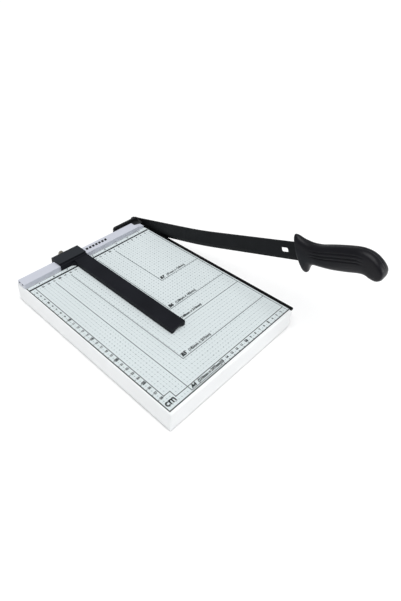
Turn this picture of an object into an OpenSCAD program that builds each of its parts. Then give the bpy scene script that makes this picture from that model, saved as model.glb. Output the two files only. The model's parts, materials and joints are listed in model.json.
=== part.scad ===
// Guillotine paper cutter with a printed steel bed, a rear fence, a sliding side guide and a
// raised sabre blade. Millimetres. +X points to the blade side, +Y to the fence, +Z up, and
// the floor is at Z = 0.

/* [Base] */
// Width of the folded steel base, across the bed
base_w = 246.5; // [240:0.5:256]
// Length of the base, along the blade
base_l = 326; // [320:1:334]
// Depth of the base's four skirts
skirt_h = 30.5; // [28:0.5:34]
// Thickness of the base's steel sheet
sheet_t = 1.2; // [1:0.1:1.5]
// Outside radius of the base's folded edges
bend_r = 2.5; // [2:0.1:3]
// How far the rubber feet stand below the skirts
foot_drop = 2; // [1.5:0.5:3]

/* [Fence] */
// Depth of the rear fence, front face to back face
fence_d = 18; // [17.5:0.5:18.5]
// Height of the fence above the bed
fence_h = 7.5; // [6.5:0.1:7.8]
// Length of the fence
fence_l = 243.5; // [200:0.5:244]

/* [Fixed blade] */
// Thickness of the fixed blade, which is also its visible width on top
fixed_t = 6; // [5:0.5:6]
// Height of the fixed blade
fixed_h = 20; // [18:0.5:22]
// Length of the fixed blade
fixed_l = 311; // [300:1:311]

/* [Moving blade] */
// Thickness of the moving blade
blade_t = 3; // [2.5:0.1:3]
// Width of the moving blade, constant along its curve
blade_w = 26; // [24:0.5:28]
// Angle that the root of the raised blade makes with the bed
root_tilt = 15.4; // [10:0.1:17]
// Further angle that the blade bends up towards the handle
curve_angle = 4; // [3:0.1:5]
// Radius of the blade's curve
curve_r = 960; // [900:10:1000]
// Gap between the moving blade and the fixed blade
blade_gap = 0.3; // [0.25:0.05:0.35]

/* [Handle] */
// Width of the moulded grip
grip_w = 22; // [18:1:26]
// Width of the finger guard at the height of the blade
guard_w = 20; // [16:1:22]

/* [Side guide] */
// Width of the guide's head, along the fence
guide_w = 50.8; // [45:0.2:55]
// Width of the guide's arm
arm_w = 25.5; // [22:0.5:28]
// Reach of the guide's arm from the fence
arm_l = 217.5; // [150:0.5:240]
// Distance from the cutting edge to the guide
guide_at = 136; // [80:1:170]

/* [Hidden] */
$fn = 64;

// Place of the bed's datum: the cutting edge, the fence's front face and the bed's top.
bed_z = skirt_h + foot_drop;
edge_x = 119.6;
fence_y = 179;
cut = 0.5;            // how far a cutting shape passes a face

// Base
base_right = -fixed_t;
base_left = base_right - base_w;
base_rear = 22;
base_front = base_rear - base_l;
plate_size = 30;
plate_t = 1.5;
plate_z = -skirt_h + 4.5;
foot_inset = 17;
foot_r = 8;
foot_screw_r = 1.75;
foot_places = [
    for (x = [base_left + foot_inset, base_right - foot_inset - 3],
         y = [base_front + foot_inset, base_rear - foot_inset]) [x, y]
];

// Edge bar behind the fixed blade's screws
bar_t = 10;
bar_h = 18;
bar_drop = 1.5;       // clears the inside of the folded edge
bar_x = base_right - sheet_t - bar_t;
bar_y0 = base_front + 8;
bar_y1 = 8;

// Stiffener under the bed
rib_w = 44;
rib_h = 10;
rib_lip = 10;
rib_x = -132;

// Fence screws, from under the bed
fence_left = -8.5 - fence_l;
fence_screw_r = 1.5;
fence_screw_xs = [fence_left + 14, fence_left + fence_l / 2, -36];
fence_wall = 1.8;
fence_lean = 0.4;      // how far the front face leans back
fence_end_h = 4.2;     // height of the fence's sloping right end
fence_slot_w = 4.2;    // slots high in the wall of its left end
fence_slot_h = 2.6;
fence_slot_z = fence_h - 3.3;
fence_slot_ys = [3, 11.6];
fence_boss_r = 3.4;

// Fixed blade
fixed_y0 = -302;      // front end
fixed_y1 = fixed_y0 + fixed_l;
fixed_tip_h = 3.5;
fixed_rake = 30;
fixed_screw_r = 2.5;
fixed_head_r = 4.6;
fixed_screw_z = -10;
fixed_screw_ys = [for (i = [0:3]) -14 - i * 82];

// Pivot and its bracket
pivot_y = 25;
pivot_z = -8;
stud_r = 4;
run_fit = 0.05;       // radial clearance of a running fit
ear_t = 4;
ear_x = -fixed_t;
ear_y0 = 13;
ear_y1 = 37;
ear_z0 = -20;
ear_z1 = 6;
boss_x = -22;
boss_y = 10;
boss_rear = 30;
boss_z0 = -16;
leg_t = 3.5;
leg_x = -58.5;
leg_z0 = -27;
leg_z1 = 11;
corner_r = 4;
notch_gap = 0.3;
bracket_screw_r = 2;
bracket_screw_xs = [-31, -46];
bracket_screw_z = -13;

// Moving blade and what it turns on
blade_x = blade_gap;
bush_r = 6;
bush_flange_r = 9;
bush_gap = 0.2;
washer_gap = 0.25;
spring_washer_t = 1;
flat_washer_t = 1.2;
nut_t = 6.5;
nut_r = 7.5;
blade_half = blade_w / 2;
root_len = 120.3;
rear_len = 15;
tip_tilt = root_tilt + curve_angle;
tip_len = 153;        // straight length from the end of the curve into the guard
guard_at = 136;
handle_l = 130;
tang_w = 16;
tang_end = 234;
tang_screw_r = 2;
tang_screws = [176, 222];
hang_hole_at = 122.3;
hang_hole_l = 11;
hang_hole_w = 7.4;
hang_hole_r = 2;
mid_x = blade_x + blade_t / 2;

// Centre of the blade's curve, seen from the right, in lengths forward of and above the pivot
curve_centre = [
    root_len * cos(root_tilt) - curve_r * sin(root_tilt),
    root_len * sin(root_tilt) + curve_r * cos(root_tilt)
];
function on_curve(r, a) = curve_centre + r * [sin(a), -cos(a)];
function heading(a) = [cos(a), sin(a)];
tip_start = on_curve(curve_r, tip_tilt);

// Side guide
guide_lift = 0.4;     // gap between the guide and the bed
guide_top = 12;
guide_roof = fence_h + guide_lift;
guide_front = 1.6;
guide_step_z = 8.8;    // height of the step above the head's front wall
guide_step_y = 1.2;    // how far the part above the step is set back
guide_edge_y = 1.6;    // front edge of the head's top
flange_y0 = fence_d + 2.8;
flange_y1 = flange_y0 + 3.6;
arm_h = 8;
arm_wall = 2;
arm_fillet = 9;
arm_channel_r = 3;
arm_end_t = 2.6;       // thickness of the wall that closes the arm's end
arm_end_w = 16.4;        // width of the arch through that wall
arm_end_rise = 4.4;    // height of the arch
arm_end_r = (arm_end_w * arm_end_w / 4 + arm_end_rise * arm_end_rise) / (2 * arm_end_rise);
thumb_x = -guide_at - 27;
thumb_z = 4;
thumb_r = 1.95;
insert_r = 3;
thumb_head_r = 4.7;
thumb_head_l = 8;
thumb_grooves = 18;
pad_t = 1.2;
pad_gap = 0.6;
pad_w = 8;
pad_h = 5;

steel_white = [0.87, 0.9, 0.89];
fence_white = [0.85, 0.86, 0.91];
black_steel = [0.07, 0.07, 0.08];
black_plastic = [0.05, 0.05, 0.06];
bright_steel = [0.75, 0.75, 0.76];
brass = [0.78, 0.64, 0.35];
rubber = [0.12, 0.12, 0.12];

// ---- Frames and helpers ----------------------------------------------------------------

// The frame whose x is 0 on the cutting edge, y is 0 on the fence and z is 0 on the bed.
module bed_frame() {
    translate([edge_x, fence_y, bed_z]) children();
}

// Extrudes a (y, z) profile along x.
module along_x(x0, length) {
    translate([x0, 0, 0]) rotate([90, 0, 90]) linear_extrude(length) children();
}

// Extrudes an (x, z) profile along y.
module along_y(y0, length) {
    translate([0, y0 + length, 0]) rotate([90, 0, 0]) linear_extrude(length) children();
}

// Extrudes a profile drawn forward of and above the pivot, from x0 to x0 + thickness.
module blade_plane(x0, thickness) {
    translate([x0 + thickness, pivot_y, pivot_z])
        rotate([90, 0, -90]) linear_extrude(thickness) children();
}

// The straight part of the blade, whose x runs from the end of the curve to the handle.
module tip_frame_2d() {
    translate(tip_start) rotate(tip_tilt) children();
}

module rod_x(x0, x1, r) {
    translate([x0, 0, 0]) rotate([0, 90, 0]) cylinder(h = x1 - x0, r = r);
}

module rod_y(y0, y1, r) {
    translate([0, y0, 0]) rotate([-90, 0, 0]) cylinder(h = y1 - y0, r = r);
}

// A rectangle with rounded corners and its lower left corner at the origin.
module round_rect(w, h, r) {
    translate([r, 0]) square([w - 2 * r, h]);
    translate([0, r]) square([w, h - 2 * r]);
    for (x = [r, w - r], y = [r, h - r]) translate([x, y]) circle(r);
}

// A rectangle whose two top corners are rounded, centred on x, with its top at y = 0.
module folded_profile(w, h, r) {
    translate([-w / 2, -h]) square([w, h - r]);
    translate([-w / 2 + r, -h]) square([w - 2 * r, h]);
    for (x = [-w / 2 + r, w / 2 - r]) translate([x, -r]) circle(r);
}

// ---- Base ------------------------------------------------------------------------------

// A block with folded top edges and mitred corners, with its top at z = 0.
module folded_block(w, l, h, r) {
    intersection() {
        along_y(-l / 2, l) folded_profile(w, h, r);
        along_x(-w / 2, w) folded_profile(l, h, r);
    }
}

module base_pan() {
    color(steel_white) bed_frame() difference() {
        translate([(base_left + base_right) / 2, (base_front + base_rear) / 2, 0]) difference() {
            folded_block(base_w, base_l, skirt_h, bend_r);
            translate([0, 0, -sheet_t])
                folded_block(base_w - 2 * sheet_t, base_l - 2 * sheet_t, skirt_h, bend_r - sheet_t);
        }
        pivot_notch();
        for (x = fence_screw_xs)
            translate([x, fence_d / 2, -sheet_t - cut])
                cylinder(h = sheet_t + 2 * cut, r = fence_screw_r + 0.2);
        for (y = fixed_screw_ys)
            translate([0, y, fixed_screw_z])
                rod_x(base_right - sheet_t - cut, base_right + cut, fixed_screw_r + 0.25);
        for (x = bracket_screw_xs)
            translate([x, 0, bracket_screw_z])
                rod_y(base_rear - sheet_t - cut, base_rear + cut, bracket_screw_r + 0.2);
    }
}

// The space that the base and the fence leave for the pivot's boss.
module pivot_notch() {
    translate([boss_x - notch_gap, boss_y - notch_gap, boss_z0 - notch_gap])
        cube([-boss_x, base_rear, fence_h - boss_z0 + 2]);
}

module bed_stiffener() {
    length = base_l - 60;
    color(steel_white) bed_frame()
        translate([rib_x, base_front + 30, -sheet_t]) along_y(0, length) difference() {
            union() {
                translate([-rib_w / 2, -rib_h]) square([rib_w, rib_h]);
                translate([-rib_w / 2 - rib_lip, -sheet_t]) square([rib_w + 2 * rib_lip, sheet_t]);
            }
            translate([-rib_w / 2 + sheet_t, -rib_h + sheet_t])
                square([rib_w - 2 * sheet_t, rib_h]);
        }
}

module edge_bar() {
    color(bright_steel) bed_frame() difference() {
        translate([bar_x, bar_y0, -sheet_t - bar_drop - bar_h]) cube([bar_t, bar_y1 - bar_y0, bar_h]);
        for (y = fixed_screw_ys)
            translate([0, y, fixed_screw_z])
                rod_x(bar_x - cut, bar_x + bar_t + cut, fixed_screw_r);
    }
}

module foot_plates() {
    color(steel_white) bed_frame() for (p = foot_places) difference() {
        x_in = p[0] < (base_left + base_right) / 2 ? base_left + sheet_t
                                                   : base_right - sheet_t - plate_size;
        y_in = p[1] < 0 ? base_front + sheet_t : base_rear - sheet_t - plate_size;
        translate([x_in, y_in, plate_z]) cube([plate_size, plate_size, plate_t]);
        translate([p[0], p[1], plate_z - cut]) cylinder(h = plate_t + 2 * cut, r = foot_screw_r);
    }
}

module rubber_feet() {
    foot_z = -skirt_h - foot_drop;
    recess = 2.5;
    color(rubber) bed_frame() for (p = foot_places)
        translate([p[0], p[1], foot_z]) difference() {
            cylinder(h = plate_z - foot_z, r1 = foot_r - 1, r2 = foot_r);
            translate([0, 0, -cut]) cylinder(h = plate_z - foot_z + 2 * cut, r = foot_screw_r);
            translate([0, 0, -cut]) cylinder(h = recess + cut, r = foot_screw_r + 2);
        }
}

module foot_screws() {
    head_z = -skirt_h - foot_drop + 1;
    color(bright_steel) bed_frame() for (p = foot_places) translate([p[0], p[1], head_z]) {
        cylinder(h = 1.5, r = foot_screw_r + 1.6);
        cylinder(h = plate_z + plate_t + 2 - head_z, r = foot_screw_r);
    }
}

// ---- Fence -----------------------------------------------------------------------------

// The fence's section, as a (y, z) profile: the front face leans back a little.
module fence_profile(inset) {
    polygon([
        [inset, 0],
        [fence_d - inset, 0],
        [fence_d - inset, fence_h - inset],
        [fence_lean + inset, fence_h - inset]
    ]);
}

// A hollow cover, open below, with three bosses for its screws. Its right end is solid.
module fence() {
    hollow_l = boss_x - notch_gap - 2 * fence_wall - fence_left;
    color(fence_white) bed_frame() difference() {
        union() {
            difference() {
                along_x(fence_left, fence_l) fence_profile(0);
                translate([0, 0, -0.01])
                    along_x(fence_left + fence_wall, hollow_l) fence_profile(fence_wall);
            }
            for (x = fence_screw_xs)
                translate([x, fence_d / 2, 0]) cylinder(h = fence_h - 1, r = fence_boss_r);
        }
        pivot_notch();
        // The right end slopes down to the blade
        along_y(-cut, fence_d + 2 * cut) polygon([
            [boss_x - notch_gap, fence_h],
            [boss_x - notch_gap, fence_h + cut],
            [fence_left + fence_l + cut, fence_h + cut],
            [fence_left + fence_l + cut, fence_end_h]
        ]);
        for (y = fence_slot_ys)
            translate([fence_left - cut, y, fence_slot_z])
                cube([fence_wall + 2 * cut, fence_slot_w, fence_slot_h]);
        for (x = fence_screw_xs)
            translate([x, fence_d / 2, -cut]) cylinder(h = fence_h - 2 + cut, r = fence_screw_r);
    }
}

module fence_screws() {
    color(bright_steel) bed_frame() for (x = fence_screw_xs)
        translate([x, fence_d / 2, -sheet_t]) {
            translate([0, 0, -2]) cylinder(h = 2, r = 2.8);
            cylinder(h = sheet_t + fence_h - 3, r = fence_screw_r);
        }
}

// ---- Fixed blade -----------------------------------------------------------------------

module fixed_blade() {
    color(black_steel) bed_frame() difference() {
        along_x(-fixed_t, fixed_t) polygon([
            [fixed_y0, 0],
            [fixed_y0, -fixed_tip_h],
            [fixed_y0 + fixed_rake, -fixed_h],
            [fixed_y1, -fixed_h],
            [fixed_y1, 0]
        ]);
        for (y = fixed_screw_ys) translate([0, y, fixed_screw_z]) {
            rod_x(-fixed_t - cut, cut, fixed_screw_r + 0.1);
            countersink(0.1, fixed_head_r + 0.1);
        }
    }
}

// A cone that narrows from r at x = depth to the screw's own radius.
module countersink(x1, r) {
    narrow = fixed_screw_r + 0.1;
    translate([x1 - (r - narrow), 0, 0])
        rotate([0, 90, 0]) cylinder(h = r - narrow, r1 = narrow, r2 = r);
}

module fixed_blade_screws() {
    sunk = -0.3;
    color(bright_steel) bed_frame() for (y = fixed_screw_ys)
        translate([0, y, fixed_screw_z]) difference() {
            union() {
                rod_x(bar_x + 1, sunk - 1, fixed_screw_r);
                translate([-0.1, 0, 0]) countersink(sunk + 0.1, fixed_head_r - 0.3);
            }
            // Hexagon socket
            translate([sunk - 1.8, 0, 0]) rotate([0, 90, 0]) cylinder(h = 3, r = 1.7, $fn = 6);
        }
}

// ---- Pivot bracket ---------------------------------------------------------------------

module pivot_bracket() {
    color(black_steel) bed_frame() difference() {
        union() {
            // Leg on the back of the base
            along_y(base_rear, leg_t) translate([leg_x, leg_z0])
                round_rect(ear_x + ear_t - leg_x, leg_z1 - leg_z0, corner_r);
            // Ear that carries the blade
            along_x(ear_x, ear_t) translate([ear_y0, ear_z0])
                round_rect(ear_y1 - ear_y0, ear_z1 - ear_z0, corner_r);
            // Boss in the corner of the base
            translate([boss_x, boss_y, boss_z0])
                cube([ear_x + ear_t - boss_x, boss_rear - boss_y, ear_z1 - boss_z0 - 1]);
        }
        translate([0, pivot_y, pivot_z]) rod_x(boss_x - cut, 0, stud_r);
        for (x = bracket_screw_xs)
            translate([x, 0, bracket_screw_z])
                rod_y(base_rear - cut, base_rear + leg_t + cut, bracket_screw_r + 0.2);
    }
}

module bracket_screws() {
    color(black_steel) bed_frame() for (x = bracket_screw_xs)
        translate([x, 0, bracket_screw_z]) difference() {
            union() {
                rod_y(base_rear - 8, base_rear + leg_t + 1, bracket_screw_r);
                rod_y(base_rear + leg_t, base_rear + leg_t + 2.6, bracket_screw_r + 1.9);
            }
            translate([0, base_rear + leg_t + 1.2, 0])
                rotate([-90, 0, 0]) cylinder(h = 2, r = 1.5, $fn = 6);
        }
}

module bracket_nuts() {
    nut_l = 3.2;
    color(bright_steel) bed_frame() for (x = bracket_screw_xs)
        translate([x, base_rear - sheet_t - nut_l, bracket_screw_z]) rotate([-90, 0, 0])
            difference() {
                cylinder(h = nut_l, r = 4, $fn = 6);
                translate([0, 0, -cut]) cylinder(h = nut_l + 2 * cut, r = bracket_screw_r);
            }
}

// ---- Pivot -----------------------------------------------------------------------------

washer_x = blade_x + blade_t + washer_gap;
flat_x = washer_x + spring_washer_t;
nut_x = flat_x + flat_washer_t;
stud_end = nut_x + nut_t + 1;

module at_pivot() {
    bed_frame() translate([0, pivot_y, pivot_z]) children();
}

module ring_x(x0, x1, r_in, r_out) {
    difference() {
        rod_x(x0, x1, r_out);
        rod_x(x0 - cut, x1 + cut, r_in);
    }
}

module pivot_stud() {
    color(bright_steel) at_pivot() rod_x(boss_x, stud_end, stud_r);
}

module pivot_bush() {
    color(brass) at_pivot() difference() {
        union() {
            rod_x(ear_x + ear_t + bush_gap, blade_x, bush_flange_r);
            rod_x(blade_x, blade_x + blade_t, bush_r);
        }
        rod_x(ear_x, nut_x, stud_r + run_fit);
    }
}

module pivot_spring_washer() {
    color(bright_steel) at_pivot() ring_x(washer_x, washer_x + spring_washer_t, stud_r + 0.1, 8);
}

module pivot_flat_washer() {
    color(bright_steel) at_pivot() ring_x(flat_x, flat_x + flat_washer_t, stud_r + 0.2, 9);
}

module pivot_lock_nut() {
    collar_l = 1.8;
    color(bright_steel) at_pivot() difference() {
        union() {
            translate([nut_x, 0, 0]) rotate([0, 90, 0])
                cylinder(h = nut_t - collar_l, r = nut_r, $fn = 6);
            rod_x(nut_x, nut_x + nut_t, 6.2);
        }
        rod_x(nut_x - cut, nut_x + nut_t + cut, stud_r);
    }
}

// ---- Moving blade ----------------------------------------------------------------------

module blade_strip_2d() {
    back = (root_len + rear_len) * heading(root_tilt);
    bevel = 4 * heading(root_tilt);
    up = 4 * [-sin(root_tilt), cos(root_tilt)];
    low_rear = on_curve(curve_r + blade_half, root_tilt) - back;
    top_rear = on_curve(curve_r - blade_half, root_tilt) - back;
    ahead = tip_len * heading(tip_tilt);
    steps = 8;
    polygon(concat(
        [top_rear - up, low_rear + up, low_rear + bevel],
        [for (i = [0:steps]) on_curve(curve_r + blade_half, root_tilt + curve_angle * i / steps)],
        [on_curve(curve_r + blade_half, tip_tilt) + ahead],
        [on_curve(curve_r - blade_half, tip_tilt) + ahead],
        [for (i = [steps:-1:0]) on_curve(curve_r - blade_half, root_tilt + curve_angle * i / steps)],
        [top_rear + bevel]
    ));
}

module tang_2d(margin) {
    translate([tip_len - 3, -tang_w / 2 - margin])
        square([tang_end + margin - tip_len + 3, tang_w + 2 * margin]);
}

module moving_blade() {
    color(black_steel) bed_frame() blade_plane(blade_x, blade_t) difference() {
        union() {
            blade_strip_2d();
            tip_frame_2d() tang_2d(0);
        }
        circle(bush_r);
        tip_frame_2d() {
            translate([hang_hole_at - hang_hole_l / 2, -hang_hole_w / 2])
                round_rect(hang_hole_l, hang_hole_w, hang_hole_r);
            for (x = tang_screws) translate([x, 0]) circle(tang_screw_r + 0.1);
        }
    }
}

// ---- Handle ----------------------------------------------------------------------------

// A closed smooth curve through the given points (Catmull-Rom), with n steps per span.
function smooth(points, n = 4) = let (count = len(points)) [
    for (i = [0:count - 1], k = [0:n - 1]) let (
        a = points[(i + count - 1) % count],
        b = points[i],
        c = points[(i + 1) % count],
        d = points[(i + 2) % count],
        t = k / n
    ) 0.5 * (2 * b + (c - a) * t + (2 * a - 5 * b + 4 * c - d) * t * t
             + (3 * b - a - 3 * c + d) * t * t * t)
];

// Side view of the grip, in the tip's frame: forward along the blade, and up.
module grip_2d() {
    polygon(smooth([
        [149, 0], [150, 15.6], [160, 15], [172, 13], [186, 14], [202, 15.6], [220, 16.2],
        [233, 14.8], [244, 9.4], [251.5, 0.5], [255, -9.5], [253.4, -17], [246, -23],
        [237, -21.2], [226, -16.6], [212, -17], [198, -17.4], [184, -16.9], [172, -15.6],
        [162, -14.9], [150, -15.5]
    ]));
}

// Side view of the finger guard, with a prong above the blade and a longer one below.
module guard_2d() {
    polygon(smooth([
        [140.6, 24.6], [141, 21], [145.8, 12], [149, 0], [149, -12], [148.2, -24],
        [149.8, -28.4], [153.4, -27], [157, -20.4], [162, -14.6], [164, 0], [161, 14.4],
        [151.5, 19.9], [144.4, 24.9]
    ]));
}

// The guard seen from the front: widest at the blade, with narrow prongs.
module guard_front_2d() {
    half = guard_w / 2;
    polygon(smooth([
        [0, 26], [half * 0.3, 23], [half * 0.75, 16], [half, 6], [half, -7], [half * 0.75, -18],
        [half * 0.3, -27], [0, -30], [-half * 0.3, -27], [-half * 0.75, -18], [-half, -7],
        [-half, 6], [-half * 0.75, 16], [-half * 0.3, 23]
    ]));
}

// Extrudes a profile that is drawn across the tip's line: sideways from the blade's middle, up.
module across_tip(x0, length) {
    along = tip_start * heading(tip_tilt) + x0;
    lift = tip_start * [-sin(tip_tilt), cos(tip_tilt)];
    translate([mid_x, pivot_y, pivot_z]) rotate([-tip_tilt, 0, 0])
        translate([0, -along, lift]) rotate([90, 0, 0]) linear_extrude(length) children();
}

// The grip's rounded section, tall enough for the pommel.
module grip_section_2d() {
    height = 44;
    translate([-grip_w / 2, -26]) round_rect(grip_w, height, grip_w / 2 - 1);
}

module handle_solid() {
    intersection() {
        blade_plane(mid_x - grip_w / 2, grip_w) tip_frame_2d() grip_2d();
        across_tip(guard_at, handle_l) grip_section_2d();
    }
    intersection() {
        blade_plane(mid_x - guard_w / 2, guard_w) tip_frame_2d() guard_2d();
        across_tip(guard_at, 40) guard_front_2d();
    }
}

module tang_screw_rods(x0, x1, r) {
    blade_plane(x0, x1 - x0) tip_frame_2d() for (x = tang_screws) translate([x, 0]) circle(r);
}

insert_len = 6;
screw_head_r = 3.6;
screw_head_depth = 3;
right_face = mid_x + grip_w / 2;
left_face = mid_x - grip_w / 2;

module handle_left_shell() {
    color(black_plastic) bed_frame() difference() {
        intersection() {
            handle_solid();
            translate([left_face - cut, -500, -200]) cube([grip_w / 2 + cut, 600, 500]);
        }
        blade_plane(blade_x, blade_t) tip_frame_2d() tang_2d(0.1);
        blade_plane(blade_x, blade_t) blade_strip_2d();
        tang_screw_rods(blade_x - insert_len, blade_x + cut, 2.8);
    }
}

module handle_right_shell() {
    color(black_plastic) bed_frame() difference() {
        intersection() {
            handle_solid();
            translate([mid_x, -500, -200]) cube([grip_w / 2 + cut, 600, 500]);
        }
        blade_plane(blade_x, blade_t) tip_frame_2d() tang_2d(0.1);
        blade_plane(blade_x, blade_t) blade_strip_2d();
        tang_screw_rods(mid_x - cut, right_face + cut, tang_screw_r + 0.1);
        tang_screw_rods(right_face - screw_head_depth, right_face + cut, screw_head_r + 0.2);
    }
}

module handle_screws() {
    color(bright_steel) bed_frame() difference() {
        union() {
            tang_screw_rods(blade_x - insert_len + 0.5, right_face - 1, tang_screw_r);
            tang_screw_rods(right_face - screw_head_depth, right_face - 0.6, screw_head_r);
        }
        blade_plane(right_face - 2.2, 3) tip_frame_2d()
            for (x = tang_screws) translate([x, 0]) circle(1.5, $fn = 6);
    }
}

module handle_inserts() {
    color(brass) bed_frame() difference() {
        tang_screw_rods(blade_x - insert_len, blade_x, 2.8);
        tang_screw_rods(blade_x - insert_len - cut, blade_x + cut, tang_screw_r);
    }
}

// ---- Side guide ------------------------------------------------------------------------

module guide_body() {
    left = -guide_at - guide_w;
    right = -guide_at;
    arm_left = right - arm_w;
    color(black_plastic) bed_frame() difference() {
        union() {
            along_x(left, guide_w) polygon([
                [-guide_front, guide_lift],
                [-guide_front, guide_step_z],
                [guide_step_y, guide_step_z + 0.4],
                [guide_edge_y, guide_top],
                [flange_y1, guide_top],
                [flange_y1, guide_lift],
                [flange_y0, guide_lift],
                [flange_y0, guide_roof],
                [-guide_lift, guide_roof],
                [-guide_lift, guide_lift]
            ]);
            difference() {
                along_y(-arm_l, arm_l - guide_lift)
                    translate([arm_left, guide_lift]) square([arm_w, arm_h - guide_lift]);
                along_y(-arm_l + arm_end_t, arm_l - arm_end_t) arm_channel(arm_left);
                translate([right - arm_w / 2, 0, guide_lift + arm_end_rise - arm_end_r])
                    rod_y(-arm_l - cut, -arm_l + arm_end_t + cut, arm_end_r);
            }
            // Fillet where the arm leaves the head
            translate([arm_left, -guide_front, guide_lift]) difference() {
                translate([-arm_fillet, -arm_fillet, 0]) cube([arm_fillet + 1, arm_fillet + 1, 4.6]);
                translate([-arm_fillet, -arm_fillet, -cut]) cylinder(h = 6, r = arm_fillet);
            }
        }
        translate([thumb_x, 0, thumb_z]) rod_y(flange_y0 - cut, flange_y1 + cut, insert_r);
    }
}

// The open underside of the guide's arm.
module arm_channel(arm_left) {
    w = arm_w - 2 * arm_wall;
    top = arm_h - arm_wall;
    r = arm_channel_r;
    translate([arm_left + arm_wall, 0]) {
        square([w, top - r]);
        translate([r, 0]) square([w - 2 * r, top]);
        for (x = [r, w - r]) translate([x, top - r]) circle(r);
    }
}

module guide_insert() {
    color(brass) bed_frame() translate([thumb_x, 0, thumb_z]) difference() {
        rod_y(flange_y0, flange_y1, insert_r);
        rod_y(flange_y0 - cut, flange_y1 + cut, thumb_r + run_fit);
    }
}

module guide_thumb_screw() {
    tip_y = fence_d + pad_gap + pad_t;
    head_y = flange_y1 + 2.4;
    color(bright_steel) bed_frame() translate([thumb_x, 0, thumb_z]) {
        rod_y(tip_y, head_y + 1, thumb_r);
        rod_y(head_y - 0.8, head_y + 1, 3.2);
        difference() {
            rod_y(head_y, head_y + thumb_head_l, thumb_head_r);
            for (i = [0:thumb_grooves - 1]) rotate([0, i * 360 / thumb_grooves, 0])
                translate([thumb_head_r + 0.35, 0, 0])
                    rod_y(head_y - cut, head_y + thumb_head_l + cut, 0.7);
        }
    }
}

module guide_clamp_pad() {
    color(brass) bed_frame()
        translate([thumb_x - pad_w / 2, fence_d + pad_gap, thumb_z - pad_h / 2])
            cube([pad_w, pad_t, pad_h]);
}

base_pan();
bed_stiffener();
edge_bar();
foot_plates();
rubber_feet();
foot_screws();
fence();
fence_screws();
fixed_blade();
fixed_blade_screws();
pivot_bracket();
bracket_screws();
bracket_nuts();
pivot_stud();
pivot_bush();
pivot_spring_washer();
pivot_flat_washer();
pivot_lock_nut();
moving_blade();
handle_left_shell();
handle_right_shell();
handle_screws();
handle_inserts();
guide_body();
guide_insert();
guide_thumb_screw();
guide_clamp_pad();
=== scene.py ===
import json
import math

import bpy
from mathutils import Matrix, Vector


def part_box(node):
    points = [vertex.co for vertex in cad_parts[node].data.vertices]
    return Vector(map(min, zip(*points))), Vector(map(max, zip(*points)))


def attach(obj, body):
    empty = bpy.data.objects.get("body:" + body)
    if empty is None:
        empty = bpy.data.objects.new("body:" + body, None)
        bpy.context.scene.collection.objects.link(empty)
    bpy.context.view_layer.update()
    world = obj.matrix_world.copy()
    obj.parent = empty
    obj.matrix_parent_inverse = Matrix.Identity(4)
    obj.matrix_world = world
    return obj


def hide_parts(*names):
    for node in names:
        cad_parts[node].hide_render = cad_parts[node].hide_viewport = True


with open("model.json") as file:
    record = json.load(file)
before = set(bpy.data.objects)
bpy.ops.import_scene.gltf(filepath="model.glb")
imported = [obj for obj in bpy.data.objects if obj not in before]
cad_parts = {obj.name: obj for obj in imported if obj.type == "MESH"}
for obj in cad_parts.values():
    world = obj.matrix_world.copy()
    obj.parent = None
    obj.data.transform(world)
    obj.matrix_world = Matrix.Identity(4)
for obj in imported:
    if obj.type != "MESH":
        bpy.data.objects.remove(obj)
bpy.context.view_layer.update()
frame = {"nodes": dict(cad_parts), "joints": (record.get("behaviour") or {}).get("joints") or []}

MM = 0.001

# Datum: the cutting edge, the fence's front foot and the bed's top.
EDGE_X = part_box("fixed_blade")[1][0]
FENCE_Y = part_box("fence")[0][1]
BED_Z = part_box("base_pan")[1][2]


def at(left, front, up=0.0):
    """A point that many mm left of the cutting edge, in front of the fence and above the bed."""
    return Vector((EDGE_X - left * MM, FENCE_Y - front * MM, BED_Z + up * MM))


# ---- Camera ------------------------------------------------------------------------------

# Where the camera looks from, in degrees, and its place as the three numbers of at()
CAMERA_AZIMUTH = -44.23
CAMERA_ELEVATION = 37.26
CAMERA_PLACE = (482.9, 512.4, 447.5)
LENS_MM = 27.70
SENSOR_MM = 36
SHIFT = (0.0782, -0.0591)


def make_camera():
    data = bpy.data.cameras.new("camera")
    data.sensor_fit = "VERTICAL"
    data.sensor_height = SENSOR_MM
    data.lens = LENS_MM
    data.shift_x, data.shift_y = SHIFT
    data.clip_start = 0.01
    camera = bpy.data.objects.new("camera", data)
    bpy.context.scene.collection.objects.link(camera)
    turn = math.radians(CAMERA_AZIMUTH)
    rise = math.radians(CAMERA_ELEVATION)
    back = Vector((math.sin(turn) * math.cos(rise), -math.cos(turn) * math.cos(rise), math.sin(rise)))
    camera.location = at(*CAMERA_PLACE)
    camera.rotation_euler = back.to_track_quat("Z", "Y").to_euler()
    bpy.context.scene.camera = camera


# ---- Studio ------------------------------------------------------------------------------

FLOOR_SIZE = 60.0
SUN_FROM = (-0.14, -0.2, 1.0)
SUN_ANGLE = 60
SUN_STRENGTH = 2.5
WORLD_STRENGTH = 0.34
LIGHTS = (
    # name, place, size, power
    ("left_fill", (-1.6, -0.3, 0.5), 1.0, 1.5),
    ("front_fill", (0.9, -1.4, 0.45), 0.5, 3.2),
)


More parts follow.
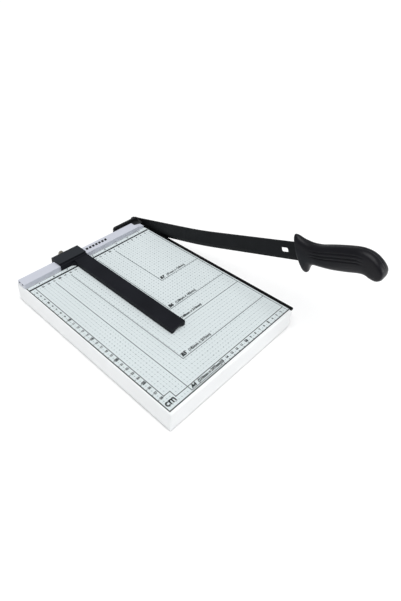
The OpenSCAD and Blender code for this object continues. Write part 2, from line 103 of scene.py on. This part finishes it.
def make_studio():
    world = bpy.data.worlds.new("studio")
    world.use_nodes = True
    sky = world.node_tree.nodes["Background"]
    sky.inputs["Color"].default_value = (0.98, 0.99, 1.0, 1)
    sky.inputs["Strength"].default_value = WORLD_STRENGTH
    bpy.context.scene.world = world
    bpy.context.scene.view_settings.view_transform = "Standard"

    mesh = bpy.data.meshes.new("floor")
    half = FLOOR_SIZE / 2
    corners = [(-half, -half, 0), (half, -half, 0), (half, half, 0), (-half, half, 0)]
    mesh.from_pydata(corners, [], [(0, 1, 2, 3)])
    floor = bpy.data.objects.new("floor", mesh)
    bpy.context.scene.collection.objects.link(floor)
    floor.data.materials.append(surface("floor_white", (0.975, 0.975, 0.975), 0.9, vary=0.004, bump=0.0))

    data = bpy.data.lights.new("sun", "SUN")
    data.energy = SUN_STRENGTH
    data.angle = math.radians(SUN_ANGLE)
    sun = bpy.data.objects.new("sun", data)
    sun.rotation_euler = Vector(SUN_FROM).to_track_quat("Z", "Y").to_euler()
    bpy.context.scene.collection.objects.link(sun)

    for name, place, size, power in LIGHTS:
        data = bpy.data.lights.new(name, "AREA")
        data.shape = "DISK"
        data.size = size
        data.energy = power
        light = bpy.data.objects.new(name, data)
        light.location = place
        light.rotation_euler = Vector(place).to_track_quat("Z", "Y").to_euler()
        bpy.context.scene.collection.objects.link(light)


# ---- Materials ---------------------------------------------------------------------------

# The part of a noise texture's values that is spread over a finish
NOISE_LOW = 0.3
NOISE_HIGH = 0.7
GLOSS_SCALE = 6
BUMP_HEIGHT = 0.2 * MM
# The printed grid: pitch, radius and colour of its dots, fine ones first
BED_DOTS = (
    (2.5 * MM, 0.38 * MM, (0.44, 0.50, 0.52)),
    (5 * MM, 0.66 * MM, (0.22, 0.27, 0.29)),
    (10 * MM, 0.82 * MM, (0.12, 0.16, 0.18)),
)
# Painted sheen: the top of the guide's head is painted greyer than its arm, standing in for the light it
# catches; the mask takes what lies behind the fence's front and above the bed by this much
HEAD_FRONT = 2.0 * MM
HEAD_TOP = 11.2 * MM
HEAD_SHEEN_TONE = (0.026, 0.029, 0.034)
# Painted shade on the fence's inside: near black behind its end face, under its skin, and no further
# than this from its left end
END_SKIN = 0.1 * MM
FENCE_SKIN = 0.65 * MM
FENCE_INSIDE = 25.0 * MM
INSIDE_SHADE_TONE = (0.01, 0.01, 0.012)


def noise(tree, source, scale, detail=3.0):
    node = tree.nodes.new("ShaderNodeTexNoise")
    node.inputs["Scale"].default_value = scale
    node.inputs["Detail"].default_value = detail
    tree.links.new(source, node.inputs["Vector"])
    return node.outputs["Fac"]


def spread(tree, value, low, high):
    """Spreads a noise value over low..high."""
    node = tree.nodes.new("ShaderNodeMapRange")
    node.inputs["From Min"].default_value = NOISE_LOW
    node.inputs["From Max"].default_value = NOISE_HIGH
    node.inputs["To Min"].default_value = low
    node.inputs["To Max"].default_value = high
    tree.links.new(value, node.inputs["Value"])
    return node.outputs["Result"]


def blend_colors(tree, factor, first, second):
    node = tree.nodes.new("ShaderNodeMix")
    node.data_type = "RGBA"
    tree.links.new(factor, node.inputs["Factor"])
    for socket, value in (("A", first), ("B", second)):
        target = [i for i in node.inputs if i.name == socket and i.type == "RGBA"][0]
        if isinstance(value, tuple):
            target.default_value = (*value, 1)
        else:
            tree.links.new(value, target)
    return [o for o in node.outputs if o.type == "RGBA"][0]


def surface(name, color, roughness, metallic=0.0, vary=0.06, vary_scale=18.0, rough_vary=0.06,
            bump=0.15, bump_scale=900.0, stretch=(1, 1, 1), specular=0.5, pattern=None):
    """A finish with slight changes of colour and gloss, and a fine surface texture."""
    material = bpy.data.materials.new(name)
    material.use_nodes = True
    tree = material.node_tree
    shader = tree.nodes["Principled BSDF"]
    shader.inputs["Metallic"].default_value = metallic
    shader.inputs["Specular IOR Level"].default_value = specular
    place = tree.nodes.new("ShaderNodeTexCoord").outputs["Object"]
    grain = tree.nodes.new("ShaderNodeMapping")
    grain.inputs["Scale"].default_value = stretch
    tree.links.new(place, grain.inputs["Vector"])
    grain = grain.outputs["Vector"]

    darker = tuple(c * (1 - vary) for c in color)
    lighter = tuple(min(1.0, c * (1 + vary)) for c in color)
    tone = blend_colors(tree, spread(tree, noise(tree, place, vary_scale), 0, 1), darker, lighter)
    if pattern:
        tone = pattern(tree, place, tone)
    tree.links.new(tone, shader.inputs["Base Color"])
    patches = noise(tree, grain, vary_scale * GLOSS_SCALE)
    gloss = spread(tree, patches, roughness - rough_vary, roughness + rough_vary)
    tree.links.new(gloss, shader.inputs["Roughness"])
    if bump:
        node = tree.nodes.new("ShaderNodeBump")
        node.inputs["Strength"].default_value = bump
        node.inputs["Distance"].default_value = BUMP_HEIGHT
        tree.links.new(noise(tree, grain, bump_scale, 2.0), node.inputs["Height"])
        tree.links.new(node.outputs["Normal"], shader.inputs["Normal"])
    return material


def math_node(tree, operation, *values):
    node = tree.nodes.new("ShaderNodeMath")
    node.operation = operation
    for socket, value in zip(node.inputs, values):
        if isinstance(value, (int, float)):
            socket.default_value = value
        else:
            tree.links.new(value, socket)
    return node.outputs[0]


def dot_mask(tree, place, pitch, radius):
    """1 inside round dots of that radius, spaced by pitch, counted from the bed's datum."""
    split = tree.nodes.new("ShaderNodeSeparateXYZ")
    tree.links.new(place, split.inputs[0])
    squares = []
    for axis, origin in (("X", EDGE_X), ("Y", FENCE_Y)):
        cell = math_node(tree, "DIVIDE", math_node(tree, "SUBTRACT", split.outputs[axis], origin), pitch)
        offset = math_node(tree, "SUBTRACT", cell, math_node(tree, "ROUND", cell))
        squares.append(math_node(tree, "POWER", math_node(tree, "MULTIPLY", offset, pitch), 2.0))
    distance = math_node(tree, "SQRT", math_node(tree, "ADD", *squares))
    return math_node(tree, "LESS_THAN", distance, radius)


def bed_dots(tree, place, tone):
    for pitch, radius, color in BED_DOTS:
        tone = blend_colors(tree, dot_mask(tree, place, pitch, radius), tone, color)
    return tone


def head_sheen(tree, place, tone):
    """Painted sheen: the top of the guide's head is painted slightly greyer than its arm, standing in
    for the light that its top catches.
    """
    split = tree.nodes.new("ShaderNodeSeparateXYZ")
    tree.links.new(place, split.inputs[0])
    on_head = math_node(tree, "GREATER_THAN", split.outputs["Y"], FENCE_Y + HEAD_FRONT)
    high = math_node(tree, "GREATER_THAN", split.outputs["Z"], BED_Z + HEAD_TOP)
    return blend_colors(tree, math_node(tree, "MULTIPLY", on_head, high), tone, HEAD_SHEEN_TONE)


def slot_shade(tree, place, tone):
    """The bare inside of the fence, seen through the slots in its left end, painted near black as
    painted shade for its shadowed hollow.
    """
    low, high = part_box("fence")
    split = tree.nodes.new("ShaderNodeSeparateXYZ")
    tree.links.new(place, split.inputs[0])
    tests = (("GREATER_THAN", "X", low[0] + END_SKIN), ("LESS_THAN", "X", low[0] + FENCE_INSIDE),
             ("GREATER_THAN", "Y", low[1] + FENCE_SKIN), ("LESS_THAN", "Y", high[1] - FENCE_SKIN),
             ("LESS_THAN", "Z", high[2] - FENCE_SKIN))
    inside = 1.0
    for test, axis, limit in tests:
        inside = math_node(tree, "MULTIPLY", inside, math_node(tree, test, split.outputs[axis], limit))
    return blend_colors(tree, inside, tone, INSIDE_SHADE_TONE)


def make_materials():
    return {
        "coat": surface("white_coat", (0.84, 0.855, 0.86), 0.42, vary=0.015, bump=0.25, bump_scale=1400),
        "print": surface("bed_print", (0.662, 0.722, 0.732), 0.5, vary=0.015, bump=0.12,
                         pattern=bed_dots),
        "ink": surface("ink_dark", (0.008, 0.01, 0.012), 0.55, vary=0.15, bump=0.1, specular=0.2),
        "ink_light": surface("ink_light", (0.055, 0.07, 0.075), 0.55, vary=0.15, bump=0.1,
                             specular=0.2),
        # The fence paint carries painted shade inside its left end, seen through the slots.
        "fence": surface("fence_paint", (0.56, 0.58, 0.65), 0.38, vary=0.02, bump=0.2,
                         pattern=slot_shade),
        "steel": surface("black_steel", (0.010, 0.0105, 0.012), 0.42, vary=0.25, vary_scale=30,
                         rough_vary=0.08, bump=0.25, bump_scale=1100, specular=0.1),
        "fixed": surface("fixed_blade_black", (0.003, 0.003, 0.0035), 0.4, vary=0.2, vary_scale=30,
                         rough_vary=0.08, bump=0.2, bump_scale=1100, specular=0.08),
        "bracket": surface("black_paint", (0.009, 0.0095, 0.011), 0.34, vary=0.2, vary_scale=30,
                           rough_vary=0.06, bump=0.2, bump_scale=1100, specular=0.4),
        "ground": surface("ground_steel", (0.004, 0.004, 0.005), 0.3, vary=0.2, rough_vary=0.1,
                          bump=0.2, bump_scale=500, stretch=(1, 1, 12), specular=0.2),
        "grip": surface("handle_plastic", (0.0065, 0.0065, 0.009), 0.34, vary=0.2, vary_scale=40,
                        rough_vary=0.06, bump=0.3, bump_scale=1600, specular=0.2),
        # The guide's plastic carries a painted sheen on the top of its head.
        "guide": surface("guide_plastic", (0.0115, 0.0125, 0.016), 0.45, vary=0.15, vary_scale=25,
                         rough_vary=0.08, bump=0.3, bump_scale=1300, specular=0.06, pattern=head_sheen),
        "rubber": surface("foot_rubber", (0.03, 0.03, 0.03), 0.8, vary=0.2, bump=0.5, bump_scale=700),
        "zinc": surface("zinc_plate", (0.55, 0.56, 0.58), 0.32, metallic=1.0, vary=0.08,
                        rough_vary=0.1, bump=0.2, bump_scale=800, stretch=(1, 1, 6)),
        "brass": surface("turned_brass", (0.62, 0.46, 0.2), 0.3, metallic=1.0, vary=0.08,
                         rough_vary=0.08, bump=0.2, bump_scale=900),
        "nickel": surface("nickel_plate", (0.45, 0.42, 0.36), 0.28, metallic=1.0, vary=0.08,
                          rough_vary=0.08, bump=0.15, bump_scale=900),
    }


WELD_WITHIN = 0.01 * MM
EDGE_SEGMENTS = 3
EDGE_ANGLE = 28
CAD_LOOKS = {
    # node: (material, width of the softened edges in mm)
    "base_pan": ("coat", 0.25),
    "bed_stiffener": ("coat", 0.2),
    "edge_bar": ("zinc", 0.3),
    "foot_plates": ("coat", 0.2),
    "rubber_feet": ("rubber", 0.5),
    "foot_screws": ("zinc", 0.15),
    "fence": ("fence", 0.7),
    "fence_screws": ("zinc", 0.15),
    "fixed_blade": ("fixed", 0.25),
    "fixed_blade_screws": ("steel", 0.15),
    "pivot_bracket": ("bracket", 0.9),
    "bracket_screws": ("steel", 0.2),
    "bracket_nuts": ("zinc", 0.15),
    "pivot_stud": ("zinc", 0.3),
    "pivot_bush": ("brass", 0.2),
    "pivot_spring_washer": ("zinc", 0.15),
    "pivot_flat_washer": ("zinc", 0.2),
    "pivot_lock_nut": ("zinc", 0.3),
    "moving_blade": ("steel", 0.3),
    "handle_screws": ("zinc", 0.2),
    "handle_inserts": ("brass", 0.1),
    "guide_body": ("guide", 0.8),
    "guide_insert": ("brass", 0.1),
    "guide_thumb_screw": ("nickel", 0.15),
    "guide_clamp_pad": ("brass", 0.1),
}


def dress_cad_nodes(materials):
    """Gives each CAD node its finish, and softens its sharp edges."""
    for node, (look, edge) in CAD_LOOKS.items():
        thing = frame["nodes"][node]
        thing.data.materials.clear()
        thing.data.materials.append(materials[look])
        weld = thing.modifiers.new("weld", "WELD")
        weld.merge_threshold = WELD_WITHIN
        bevel = thing.modifiers.new("soft_edges", "BEVEL")
        bevel.width = edge * MM
        bevel.segments = EDGE_SEGMENTS
        bevel.limit_method = "ANGLE"
        bevel.angle_limit = math.radians(EDGE_ANGLE)
        bevel.harden_normals = True
        bevel.use_clamp_overlap = True


# ---- Mesh helpers ------------------------------------------------------------------------


def new_piece(name, points, faces, material, body, smooth=False):
    """A mesh piece that rides on a body of the record."""
    mesh = bpy.data.meshes.new(name)
    mesh.from_pydata([tuple(p) for p in points], [], faces)
    mesh.materials.append(material)
    if smooth:
        mesh.polygons.foreach_set("use_smooth", [True] * len(mesh.polygons))
    mesh.update()
    piece = bpy.data.objects.new(name, mesh)
    bpy.context.scene.collection.objects.link(piece)
    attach(piece, body)
    return piece


def smooth_curve(points, steps):
    """Catmull-Rom through equal-length tuples, keeping both ends."""
    ends = [points[0]] + list(points) + [points[-1]]
    result = []
    for a, b, c, d in zip(ends, ends[1:], ends[2:], ends[3:]):
        for k in range(steps):
            t = k / steps
            result.append(tuple(
                0.5 * (2 * q + (r - p) * t + (2 * p - 5 * q + 4 * r - s) * t * t
                       + (3 * q - p - 3 * r + s) * t ** 3)
                for p, q, r, s in zip(a, b, c, d)
            ))
    result.append(tuple(points[-1]))
    return result


# ---- Printed bed -------------------------------------------------------------------------

# The printed sheet, in mm: its size, the width of its strips and its square corner box
PRINT_W = 250
PRINT_L = 300
STRIP = 10
CORNER_BOX = 20
SHEET_UP = 0.06
SHEET_REAR = 0.4
SHEET_RIGHT = 6.6
SHEET_SPARE_LEFT = 0.45
SHEET_SPARE_FRONT = 0.4
INK_UP = 0.11
# Widths of the lines, and where the lines near the fence and the blade lie
LINE = 0.95
BORDER = 1.4
BORDER_END = 6.5
BORDER_FRONT = 0.5
THICK_LINE = 3.0
THICK_LINE_AT = 8.7
THICK_LINE_END = 7.6
BLADE_LINE_AT = 9.2
REAR_LINE = 0.7
REAR_LINE_AT = 1.1
REAR_LINE_END = 20
INNER_FROM = 14.7
FRAMES_FROM = 19
A4_RULE = 58
A4_RULE_W = 0.8
# Rulers: every fifth mark is stronger. Length of the tick, size and boldness of the number
CM = 10
INCH = 25.4
STRONG = (3.4, 5.4, 0.4)
PLAIN = (2.8, 4.3, 0.24)
TICK_W = 0.9
HALF_TICK = 1.6
HALF_TICK_W = 0.4
LEFT_NUMBERS = 6.3
FRONT_NUMBERS = 6
# The centimetres in front of the thick line: size and boldness, and how far off its middle they are
REAR_STRONG = (5.0, 0.34)
REAR_PLAIN = (4.2, 0.2)
REAR_NUMBERS = 5.6
REAR_SHIFT = 0.8
# The inches behind it, with a tick each eighth from the first to the second distance
INCH_NUMBERS = 4.4
INCH_SIZE = 4.4
INCH_BOLD = 0.3
EIGHTHS = (2.4, 0.9)
EIGHTHS_W = 0.3
# Labels: size and boldness of a paper's code and of its dimensions
CODE = (7.6, 0.48)
A4_CODE = (6.4, 0.5)
SIZE_TEXT = (5.5, 0.24)
SIZE_BOLD = (5.5, 0.3)
SLANT = 0.25
UNIT_AT = (PRINT_W - 10, PRINT_L - 10)
UNIT_SIZE = 13.5
UNIT_BOLD = 0.35
# Paper sizes whose corner is printed on the bed: code, width, length
PAPER_FRAMES = (("B7", 91, 128), ("B6", 128, 182), ("B5", 182, 257))
A5 = ("A5", 148, 210)
A4 = ("A4", 210, 297)
# Where a code and its dimensions start: to the right of the frame's left line and behind its front line
B_LABELS = ((2.3, 4.9), (15, 4.6))
A5_LABELS = ((2.5, 5.3), (17, 5.3))
A4_LABELS = ((3, 6.3), (14.5, 6.3))


class Ink:
    """Collects flat printed shapes, in mm left of the edge and in front of the fence."""

    def __init__(self):
        self.points = []
        self.faces = []

    def quad(self, left0, front0, left1, front1):
        start = len(self.points)
        corners = ((left0, front0), (left1, front0), (left1, front1), (left0, front1))
        self.points += [at(left, front, INK_UP) for left, front in corners]
        self.faces.append((start, start + 1, start + 2, start + 3))

    def across(self, left, right, front, width=LINE):
        self.quad(left, front - width / 2, right, front + width / 2)

    def along(self, left, front0, front1, width=LINE):
        self.quad(left - width / 2, front0, left + width / 2, front1)

    def text(self, words, left, front, size, bold=0.0, slant=0.0, align="CENTER"):
        """Writes words with their middle height at front, read from the front of the cutter."""
        data = bpy.data.curves.new("label", "FONT")
        data.body = words
        data.size = size * MM
        data.align_x = align
        data.align_y = "CENTER"
        data.offset = bold * MM
        data.shear = slant
        data.resolution_u = 2
        label = bpy.data.objects.new("label", data)
        bpy.context.scene.collection.objects.link(label)
        bpy.context.view_layer.update()
        mesh = bpy.data.meshes.new_from_object(label)
        start = len(self.points)
        place = at(left, front, INK_UP)
        self.points += [place + vertex.co for vertex in mesh.vertices]
        self.faces += [tuple(start + i for i in face.vertices) for face in mesh.polygons]
        bpy.data.objects.remove(label)
        bpy.data.curves.remove(data)
        bpy.data.meshes.remove(mesh)


def print_lines(dark, light):
    """The border and the inner edges of the two strips, stepped round the corner box."""
    last_front = PRINT_L - STRIP
    inner = PRINT_W - STRIP
    box_left = PRINT_W - CORNER_BOX
    box_front = PRINT_L - CORNER_BOX
    dark.along(PRINT_W, SHEET_REAR, PRINT_L, BORDER)
    dark.across(PRINT_W, REAR_LINE_END, REAR_LINE_AT, REAR_LINE)
    dark.across(PRINT_W, BORDER_END, PRINT_L - BORDER_FRONT, BORDER)
    dark.along(inner, THICK_LINE_AT, box_front)
    dark.across(inner, box_left, box_front)
    dark.along(box_left, box_front, last_front)
    dark.across(box_left, BLADE_LINE_AT, last_front)
    dark.across(PRINT_W, THICK_LINE_END, THICK_LINE_AT, THICK_LINE)
    light.along(BLADE_LINE_AT, INNER_FROM, last_front)


def print_rulers(dark, light):
    # Centimetres down the left strip
    for cm in range(2, 29):
        tick, size, bold = PLAIN if cm % 5 else STRONG
        dark.across(PRINT_W, PRINT_W - tick, cm * CM, TICK_W)
        dark.across(PRINT_W, PRINT_W - HALF_TICK, (cm - 0.5) * CM, HALF_TICK_W)
        dark.text(str(cm), PRINT_W - LEFT_NUMBERS, cm * CM, size, bold=bold)
    # Centimetres along the front strip, up to the label of A4
    for cm in range(1, 16):
        tick, size, bold = PLAIN if cm % 5 else STRONG
        dark.along(cm * CM, PRINT_L - tick, PRINT_L, TICK_W)
        dark.along((cm - 0.5) * CM, PRINT_L - HALF_TICK, PRINT_L, HALF_TICK_W)
        dark.text(str(cm), cm * CM, PRINT_L - FRONT_NUMBERS, size, bold=bold)
    # Inches behind the thick line and centimetres in front of it
    for inch in range(1, 10):
        dark.text(str(inch), inch * INCH, THICK_LINE_AT - INCH_NUMBERS, INCH_SIZE, bold=INCH_BOLD)
        for eighth in range(1, 8):
            light.along((inch - eighth / 8) * INCH, THICK_LINE_AT - EIGHTHS[0],
                        THICK_LINE_AT - EIGHTHS[1], EIGHTHS_W)
    for cm in range(2, 24):
        size, bold = REAR_PLAIN if cm % 5 else REAR_STRONG
        dark.text(str(cm), cm * CM - REAR_SHIFT, THICK_LINE_AT + REAR_NUMBERS, size, bold=bold)


def paper_label(ink, paper, front, starts, code_look=CODE, size_look=SIZE_BOLD):
    """Writes a paper's code and its dimensions behind the line at front."""
    code, width, length = paper
    labels = (code, "(%dmm x %dmm)" % (width, length))
    for words, (right, back), (size, bold) in zip(labels, starts, (code_look, size_look)):
        ink.text(words, width - right, front - back, size, bold=bold, slant=SLANT, align="LEFT")


def print_paper_frames(dark, light):
    for paper in PAPER_FRAMES:
        width, length = paper[1:]
        light.along(width, FRAMES_FROM, length)
        light.across(width + LINE / 2, BLADE_LINE_AT, length)
        paper_label(dark, paper, length, B_LABELS, size_look=SIZE_TEXT)
    width, length = A5[1:]
    light.across(width, BLADE_LINE_AT, length)
    paper_label(dark, A5, length, A5_LABELS)
    width, length = A4[1:]
    light.along(width, FRAMES_FROM, length + 0.6)
    dark.across(width, width - A4_RULE, length + 0.3, A4_RULE_W)
    paper_label(dark, A4, PRINT_L, A4_LABELS, code_look=A4_CODE)
    # Unit mark in the corner box
    dark.text("cm", *UNIT_AT, UNIT_SIZE, bold=UNIT_BOLD)


def make_print(materials):
    left, front = PRINT_W + SHEET_SPARE_LEFT, PRINT_L + SHEET_SPARE_FRONT
    corners = ((left, SHEET_REAR), (SHEET_RIGHT, SHEET_REAR), (SHEET_RIGHT, front), (left, front))
    points = [at(*corner, SHEET_UP) for corner in corners]
    points += [p - Vector((0, 0, SHEET_UP * MM)) for p in points]
    faces = [(3, 2, 1, 0), (4, 5, 6, 7), (0, 1, 5, 4), (1, 2, 6, 5), (2, 3, 7, 6), (3, 0, 4, 7)]
    new_piece("bed_sheet", points, faces, materials["print"], "base")
    dark = Ink()
    light = Ink()
    print_lines(dark, light)
    print_rulers(dark, light)
    print_paper_frames(dark, light)
    for name, ink, look in (("bed_ink", dark, "ink"), ("bed_ink_fine", light, "ink_light")):
        new_piece(name, ink.points, ink.faces, materials[look], "base")


# ---- Blade -------------------------------------------------------------------------------

# The blade's middle line: a straight root, a curve that turns it up, and a straight tip
ROOT_TILT = 15.4
TURN = 4.0
CURVE_R = 960
ROOT_LEN = 120.3
TURN_LEN = CURVE_R * math.radians(TURN)
TIP_TILT = ROOT_TILT + TURN
TIP_LEN = 150
BLADE_HALF = 13
# The ground band, from near the pivot to near the guard; it starts narrow and grows to its full width
GROUND_W = 5.5
GROUND_FROM = 26
GROUND_STEPS = 70
GROUND_MARGIN = 0.35
GROUND_PROUD = (0.05, -0.2)


def pivot_point():
    joint = [j for j in frame["joints"] if j["name"] == "blade_pivot"][0]
    return Vector(joint["pos_m"])


def heading(angle):
    """The direction at that tilt in the blade's plane, and below it the one square to it."""
    return Vector((math.cos(math.radians(angle)), math.sin(math.radians(angle))))


def upward(angle):
    return Vector((-math.sin(math.radians(angle)), math.cos(math.radians(angle))))


def curve_start():
    return ROOT_LEN * heading(ROOT_TILT)


def on_blade(along, up):
    """The point at a length along the blade's middle line, in mm ahead of and above the pivot."""
    if along < ROOT_LEN:
        return along * heading(ROOT_TILT) + up * upward(ROOT_TILT)
    centre = curve_start() + CURVE_R * upward(ROOT_TILT)
    tilt = ROOT_TILT + min(math.degrees((along - ROOT_LEN) / CURVE_R), TURN)
    place = centre - (CURVE_R - up) * upward(tilt)
    return place + max(0.0, along - ROOT_LEN - TURN_LEN) * heading(TIP_TILT)


def tip_point(along, up):
    """A point in the frame of the blade's straight end, which the grip follows."""
    return on_blade(ROOT_LEN + TURN_LEN + along, up)


def blade_world(sideways, flat):
    """Turns a blade-plane point into the shared frame; sideways is in metres along X."""
    pivot = pivot_point()
    return Vector((sideways, pivot.y - flat.x * MM, pivot.z + flat.y * MM))


def make_ground_edge(materials):
    """The ground band along the blade's cutting edge, on both faces."""
    low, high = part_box("moving_blade")
    for name, face, sign in (("left", low[0], -1), ("right", high[0], 1)):
        points = []
        end = ROOT_LEN + TURN_LEN + TIP_LEN - 2
        for i in range(GROUND_STEPS + 1):
            along = GROUND_FROM + (end - GROUND_FROM) * i / GROUND_STEPS
            width = GROUND_W * min(1.0, 0.2 + i / 6)
            for up in (-BLADE_HALF + GROUND_MARGIN, -BLADE_HALF + width):
                for proud in GROUND_PROUD:
                    points.append(blade_world(face + sign * proud * MM, on_blade(along, up)))
        faces = []
        for i in range(GROUND_STEPS):
            a, b = 4 * i, 4 * i + 4
            faces += [(a, b, b + 2, a + 2), (a + 2, b + 2, b + 3, a + 3),
                      (a + 3, b + 3, b + 1, a + 1), (a + 1, b + 1, b, a)]
        last = 4 * GROUND_STEPS
        faces += [(0, 2, 3, 1), (last, last + 1, last + 3, last + 2)]
        new_piece("ground_edge_" + name, points, faces, materials["ground"], "blade")


# ---- Handle ------------------------------------------------------------------------------

# Stations from the guard's front face to the pommel: the top point and the bottom point, as
# lengths along and above the tip's line, then the half width and how square the section is.
HANDLE_STATIONS = (
    (141.2, 22.0, 148.4, -25.4, 5.5, 2.0),
    (140.4, 24.0, 148.4, -28.0, 8.0, 2.0),
    (142.0, 25.2, 151.0, -29.2, 9.3, 2.0),
    (146.0, 23.8, 154.2, -27.4, 9.9, 2.1),
    (151.5, 20.0, 157.2, -21.6, 10.3, 2.2),
    (158.5, 16.4, 161.0, -16.8, 10.7, 2.4),
    (166.0, 14.0, 166.8, -15.0, 10.9, 2.6),
    (176.0, 13.1, 176.0, -16.0, 11.0, 2.8),
    (188.0, 14.3, 188.0, -17.2, 11.0, 2.9),
    (202.0, 15.6, 201.0, -17.5, 11.0, 2.9),
    (216.0, 16.3, 214.0, -17.0, 11.0, 2.9),
    (228.0, 15.9, 224.5, -16.3, 11.0, 2.9),
    (238.0, 13.0, 232.0, -17.4, 11.0, 2.9),
    (245.0, 8.2, 238.0, -21.2, 11.0, 3.0),
    (250.5, 1.5, 244.5, -23.4, 10.8, 3.0),
    (253.6, -5.0, 250.2, -21.6, 10.0, 2.9),
    (254.8, -9.4, 253.0, -18.4, 7.8, 2.6),
    (255.1, -12.4, 254.6, -15.2, 1.8, 2.0),
)
# Finger grooves, as heights from -1 at the bottom to 1 at the top, and where they start and end
GROOVES = (0.56, 0.27, 0.02)
GROOVE_DEPTH = 1.3
GROOVE_HALF = 0.05
GROOVE_SPAN = (162, 236)
GROOVE_FADE = (8, 12)
SEAM = 0.25
# The recesses of the two screws, on the right side
SCREWS_AT = (176, 222)
RECESS_R = 4.1
RECESS_DEPTH = 3
SECTION_STEPS = 110
# Rings between two stations: left side, and right side with its round recesses
RING_STEPS = {-1: 6, 1: 14}


def groove_depth(along, height):
    """How deep the three finger grooves are at a place on the side of the grip, in mm."""
    start, end = GROOVE_SPAN
    fade = max(0.0, min(1.0, (along - start) / GROOVE_FADE[0], (end - along) / GROOVE_FADE[1]))
    return sum(GROOVE_DEPTH * fade * math.exp(-((height - g) / GROOVE_HALF) ** 2) for g in GROOVES)


def handle_ring(station, side):
    """One rounded half section, from the top seam round the side to the bottom seam."""
    top_x, top_y, low_x, low_y, half, square = station
    ring = []
    for k in range(SECTION_STEPS + 1):
        height = math.sin(math.pi / 2 * (1 - 2 * k / SECTION_STEPS))
        out = half * (1 - min(1.0, abs(height)) ** square) ** (1 / square)
        along = (top_x + low_x) / 2 + (top_x - low_x) / 2 * height
        up = (top_y + low_y) / 2 + (top_y - low_y) / 2 * height
        out = max(out - groove_depth(along, height), SEAM / 2)
        if side > 0 and min(math.hypot(along - x, up) for x in SCREWS_AT) < RECESS_R:
            out = half - RECESS_DEPTH
        ring.append((side * out, along, up))
    return ring


def make_handle_half(name, side, node, materials):
    low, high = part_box("moving_blade")
    middle = (low[0] + high[0]) / 2
    rings = [handle_ring(s, side) for s in smooth_curve(HANDLE_STATIONS, RING_STEPS[side])]
    points = [blade_world(middle + out * MM, tip_point(along, up))
              for ring in rings for out, along, up in ring]
    count = SECTION_STEPS + 1
    faces = []
    for i in range(len(rings) - 1):
        for k in range(count - 1):
            a = i * count + k
            face = (a, a + 1, a + count + 1, a + count)
            faces.append(face if side > 0 else face[::-1])
        a, b = i * count, i * count + count - 1
        inner = (a, a + count, b + count, b)
        faces.append(inner if side > 0 else inner[::-1])
    front = tuple(range(count))
    back = tuple(range((len(rings) - 1) * count, len(rings) * count))
    faces += [front[::-1], back] if side > 0 else [front, back[::-1]]
    piece = new_piece(name, points, faces, materials["grip"], "blade", smooth=True)
    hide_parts(node)


def make_handle(materials):
    make_handle_half("grip_left", -1, "handle_left_shell", materials)
    make_handle_half("grip_right", 1, "handle_right_shell", materials)


# ---- Fence mark --------------------------------------------------------------------------

DASH_COUNT = 7
DASH_START = 6
DASH_PITCH = 6.5
DASH_W = 4.4
DASH_D = 5.4
DASH_SLANT = 1.4
DASH_BACK = 1.0
DASH_UP = 0.05


def make_fence_mark(materials):
    """A plain row of slanted dashes on top of the fence, at the right of the guide."""
    fence_low, fence_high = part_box("fence")
    top = fence_high[2] + DASH_UP * MM
    middle = (fence_low[1] + fence_high[1]) / 2 + DASH_BACK * MM
    start_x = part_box("guide_body")[1][0] + DASH_START * MM
    points, faces = [], []
    for i in range(DASH_COUNT):
        x = start_x + i * DASH_PITCH * MM
        start = len(points)
        for along, deep in ((0, -0.5), (DASH_W, -0.5), (DASH_W + DASH_SLANT, 0.5), (DASH_SLANT, 0.5)):
            points.append((x + along * MM, middle + deep * DASH_D * MM, top))
        faces.append((start, start + 1, start + 2, start + 3))
    new_piece("fence_dashes", points, faces, materials["ink"], "base")


# ---- Scene -------------------------------------------------------------------------------

materials = make_materials()
make_camera()
make_studio()
dress_cad_nodes(materials)
make_print(materials)
make_ground_edge(materials)
make_handle(materials)
make_fence_mark(materials)
